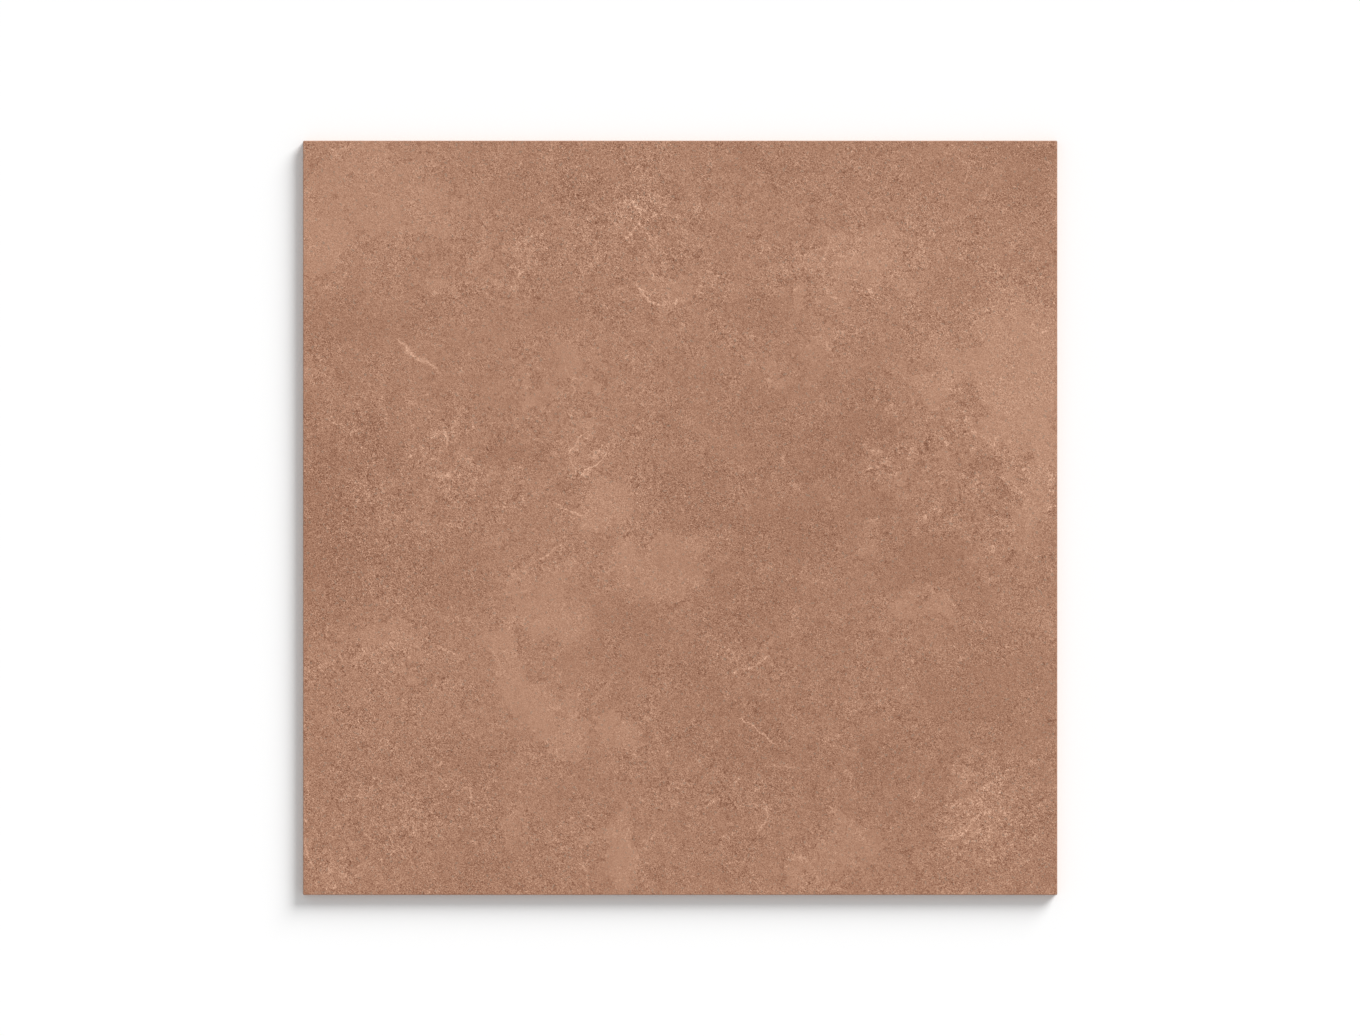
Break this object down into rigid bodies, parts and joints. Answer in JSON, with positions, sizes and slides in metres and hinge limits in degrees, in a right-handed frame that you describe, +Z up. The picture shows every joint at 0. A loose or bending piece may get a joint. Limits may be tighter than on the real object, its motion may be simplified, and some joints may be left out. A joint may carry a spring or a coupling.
{
  "type": "floor tile",
  "caption": "Square rectified porcelain floor tile with a matt, clouded terracotta cement-look face, finely bevelled ground edges and a moulded grid of shallow recesses on its back.",
  "frame": {"origin": "middle of the back, at the level of the ribs that the tile lies on", "axes": "+Z up to the walking face, X and Y along the edges; the picture looks down along -Z with +Y at its top"},
  "size_m": [0.597, 0.597, 0.0095],
  "materials": {
    "porcelain": "matte"
  },
  "bodies": {
    "root": {"floor_tile": "porcelain"}
  },
  "joints": []
}
